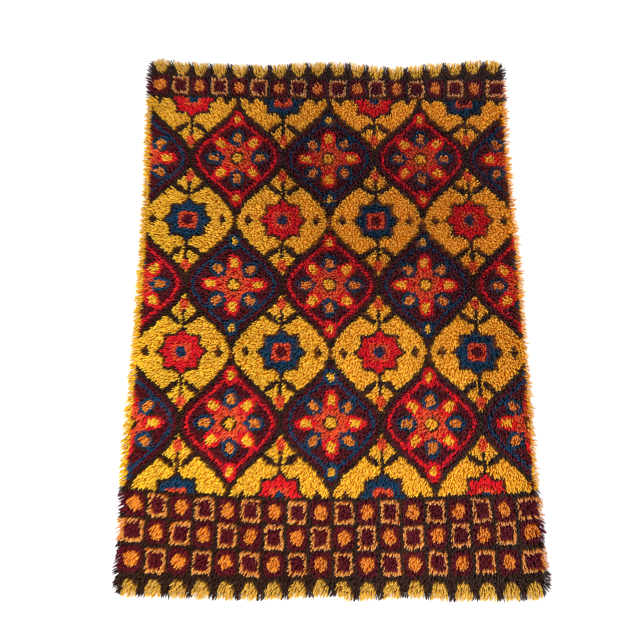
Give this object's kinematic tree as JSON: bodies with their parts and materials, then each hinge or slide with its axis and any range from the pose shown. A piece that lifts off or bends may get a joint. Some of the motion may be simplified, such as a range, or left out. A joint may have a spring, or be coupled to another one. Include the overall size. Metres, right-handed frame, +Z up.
{
  "type": "rya rug",
  "caption": "Rectangular long-pile wool rug that lies flat, with shaggy yarn locks over its rim, checkered end bands and a flat underside.",
  "frame": {"origin": "middle of the flat underside", "axes": "+X across the width, +Y along the length towards the end with one row of blocks, +Z up through the pile"},
  "size_m": [1.42, 2.0502, 0.031],
  "materials": {
    "wool_pile": "matt long wool yarn"
  },
  "bodies": {
    "root": {"rug": "wool_pile"}
  },
  "joints": []
}
